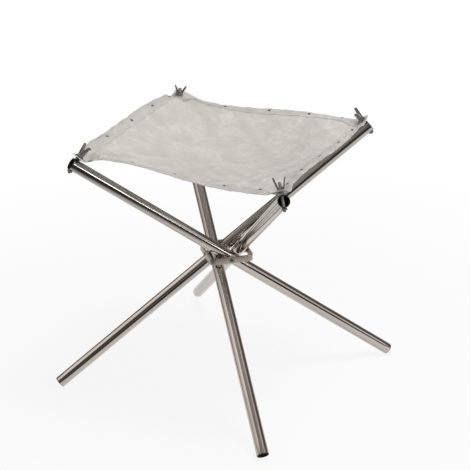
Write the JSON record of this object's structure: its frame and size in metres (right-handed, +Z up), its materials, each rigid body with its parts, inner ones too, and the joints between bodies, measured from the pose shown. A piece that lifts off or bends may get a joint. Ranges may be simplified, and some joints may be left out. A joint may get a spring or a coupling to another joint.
{
  "type": "folding fire pit",
  "caption": "Folding stand for a wood fire: crossing steel tubes pivot in a square hub ring and carry a hanging woven mesh bed clamped at its corners by wing nuts.",
  "frame": {"origin": "floor point under the middle of the hub ring", "axes": "+Z up along the hub's axis; -Y is the ring side at the front, whose tube runs along X"},
  "size_m": [0.572, 0.572, 0.4344],
  "materials": {
    "polished_tube": "polished stainless, drawn lengthwise",
    "strip_steel": "satin stainless strip",
    "stud_steel": "bright zinc",
    "wing_steel": "bright zinc",
    "dark_steel": "dull dark steel",
    "woven_mesh": "fine woven stainless wire cloth, matte"
  },
  "bodies": {
    "hub": {"hub_ring": "strip_steel", "pivot_rivets": "strip_steel", "pivot_spacers": "dark_steel"},
    "leg_front": {"leg_tube_front": "polished_tube", "corner_stud_front": "stud_steel", "stud_nuts_front": "stud_steel", "mesh_washers_front": "wing_steel"},
    "leg_right": {"leg_tube_right": "polished_tube", "corner_stud_right": "stud_steel", "stud_nuts_right": "stud_steel", "mesh_washers_right": "wing_steel"},
    "leg_back": {"leg_tube_back": "polished_tube", "corner_stud_back": "stud_steel", "stud_nuts_back": "stud_steel", "mesh_washers_back": "wing_steel"},
    "leg_left": {"leg_tube_left": "polished_tube", "corner_stud_left": "stud_steel", "stud_nuts_left": "stud_steel", "mesh_washers_left": "wing_steel"},
    "wing_front": {"wing_nut_front": "wing_steel"},
    "wing_right": {"wing_nut_right": "wing_steel"},
    "wing_back": {"wing_nut_back": "wing_steel"},
    "wing_left": {"wing_nut_left": "wing_steel"},
    "mesh": {"fire_mesh": "woven_mesh", "hem_rivets": "dark_steel"}
  },
  "joints": [
    {"name": "frame_fold", "type": "hinge", "parent": "hub", "child": "leg_front", "pos_m": [0, -0.0193, 0.21882], "axis": [0, 1, 0], "range_deg": [0, 47], "deforming": ["fire_mesh", "hem_rivets"]},
    {"name": "fold_right", "type": "hinge", "parent": "hub", "child": "leg_right", "pos_m": [0.0193, 0, 0.21882], "axis": [-1, 0, 0], "range_deg": [0, 47]},
    {"name": "fold_back", "type": "hinge", "parent": "hub", "child": "leg_back", "pos_m": [0, 0.0193, 0.21882], "axis": [0, -1, 0], "range_deg": [0, 47]},
    {"name": "fold_left", "type": "hinge", "parent": "hub", "child": "leg_left", "pos_m": [-0.0193, 0, 0.21882], "axis": [1, 0, 0], "range_deg": [0, 47]},
    {"name": "mesh_lift", "type": "slide", "parent": "hub", "child": "mesh", "axis": [0, 0, 1], "range_m": [0, 0.3]},
    {"name": "wing_turn_front", "type": "hinge", "parent": "leg_front", "child": "wing_front", "pos_m": [-0.23115, -0.0193, 0.41805], "axis": [0.6018, 0, 0.7986], "continuous": true},
    {"name": "wing_turn_right", "type": "hinge", "parent": "leg_right", "child": "wing_right", "pos_m": [0.0193, -0.23115, 0.41805], "axis": [0, 0.6018, 0.7986], "continuous": true},
    {"name": "wing_turn_back", "type": "hinge", "parent": "leg_back", "child": "wing_back", "pos_m": [0.23115, 0.0193, 0.41805], "axis": [-0.6018, 0, 0.7986], "continuous": true},
    {"name": "wing_turn_left", "type": "hinge", "parent": "leg_left", "child": "wing_left", "pos_m": [-0.0193, 0.23115, 0.41805], "axis": [0, -0.6018, 0.7986], "continuous": true}
  ],
  "couplings": [
    {"joint": "fold_right", "follows": "frame_fold", "ratio": 1},
    {"joint": "fold_back", "follows": "frame_fold", "ratio": 1},
    {"joint": "fold_left", "follows": "frame_fold", "ratio": 1},
    {"joint": "mesh_lift", "follows": "frame_fold", "m_per_rad": 0.3657}
  ]
}
